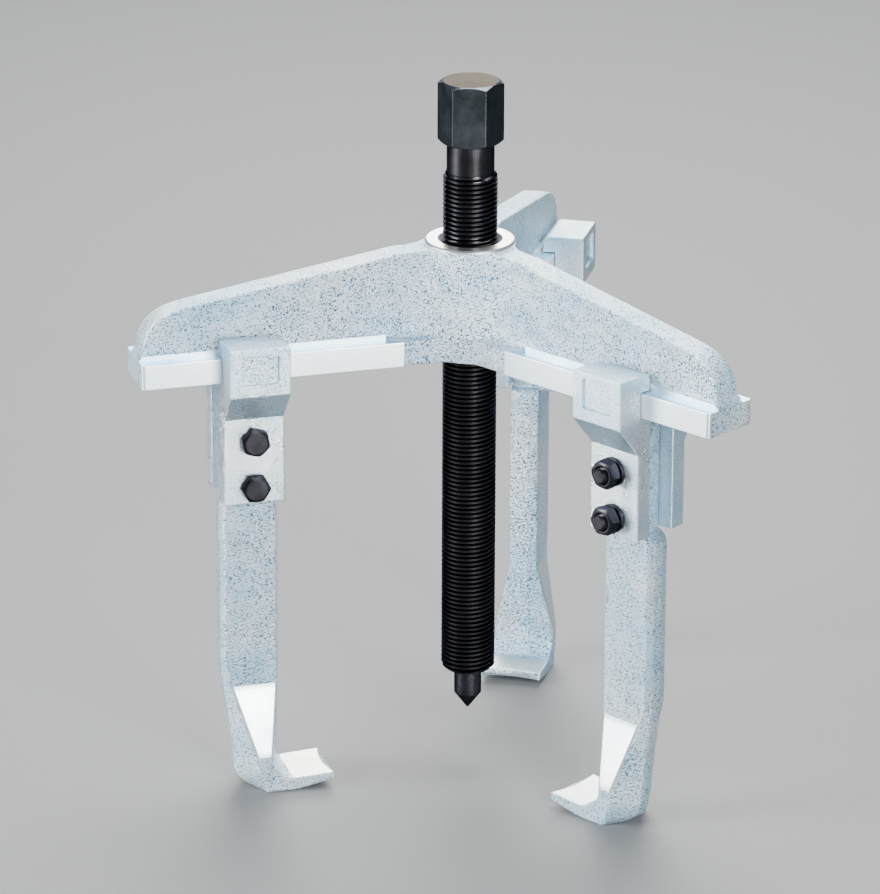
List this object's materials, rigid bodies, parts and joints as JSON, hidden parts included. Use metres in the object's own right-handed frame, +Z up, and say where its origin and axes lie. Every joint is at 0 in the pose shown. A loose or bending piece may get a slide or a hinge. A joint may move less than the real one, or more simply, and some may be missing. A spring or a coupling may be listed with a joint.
{
  "type": "gear puller",
  "caption": "Gear puller with hooked jaws that slide along the arms of a forged crossbeam and a central forcing screw that presses on the shaft.",
  "frame": {"origin": "centre of the spindle's hexagonal drive face, on the spindle's axis", "axes": "+Z up along the spindle's axis, +Y outward along arm C"},
  "size_m": [0.239, 0.2073, 0.2773],
  "materials": {
    "beam_steel": "zinc plated over a shot-blasted forging, satin, with bright machined rails",
    "leg_steel": "zinc plated over a shot-blasted forging, satin, with ground claw faces",
    "cheek_steel": "zinc plated over a fine forging, satin",
    "spindle_steel": "black oxide, oiled, satin",
    "fastener_steel": "black oxide"
  },
  "bodies": {
    "crossbeam": {"crossbeam": "beam_steel"},
    "pressure_tip": {"spindle_tip": "spindle_steel"},
    "spindle": {"spindle": "spindle_steel"},
    "jaw_a": {"jaw_a_leg": "leg_steel", "jaw_a_cheek_left": "cheek_steel", "jaw_a_cheek_right": "cheek_steel", "jaw_a_bolt_upper": "fastener_steel", "jaw_a_washer_upper": "fastener_steel", "jaw_a_nut_upper": "fastener_steel", "jaw_a_bolt_lower": "fastener_steel", "jaw_a_washer_lower": "fastener_steel", "jaw_a_nut_lower": "fastener_steel"},
    "jaw_b": {"jaw_b_leg": "leg_steel", "jaw_b_cheek_left": "cheek_steel", "jaw_b_cheek_right": "cheek_steel", "jaw_b_bolt_upper": "fastener_steel", "jaw_b_washer_upper": "fastener_steel", "jaw_b_nut_upper": "fastener_steel", "jaw_b_bolt_lower": "fastener_steel", "jaw_b_washer_lower": "fastener_steel", "jaw_b_nut_lower": "fastener_steel"},
    "jaw_c": {"jaw_c_leg": "leg_steel", "jaw_c_cheek_left": "cheek_steel", "jaw_c_cheek_right": "cheek_steel", "jaw_c_bolt_upper": "fastener_steel", "jaw_c_washer_upper": "fastener_steel", "jaw_c_nut_upper": "fastener_steel", "jaw_c_bolt_lower": "fastener_steel", "jaw_c_washer_lower": "fastener_steel", "jaw_c_nut_lower": "fastener_steel"}
  },
  "joints": [
    {"name": "spindle_travel", "type": "slide", "parent": "crossbeam", "child": "pressure_tip", "axis": [0, 0, 1], "range_m": [-0.0375, 0.1202]},
    {"name": "spindle_turn", "type": "hinge", "parent": "pressure_tip", "child": "spindle", "pos_m": [0, 0, 0], "axis": [0, 0, 1], "range_deg": [-7400, 23800]},
    {"name": "jaw_a_slide", "type": "slide", "parent": "crossbeam", "child": "jaw_a", "axis": [-0.866, -0.5, 0], "range_m": [-0.0448, 0.0307]},
    {"name": "jaw_b_slide", "type": "slide", "parent": "crossbeam", "child": "jaw_b", "axis": [0.866, -0.5, 0], "range_m": [-0.0427, 0.0328]},
    {"name": "jaw_c_slide", "type": "slide", "parent": "crossbeam", "child": "jaw_c", "axis": [0, 1, 0], "range_m": [-0.0635, 0.012]}
  ],
  "couplings": [
    {"joint": "spindle_travel", "follows": "spindle_turn", "m_per_rad": 0.00028875}
  ]
}
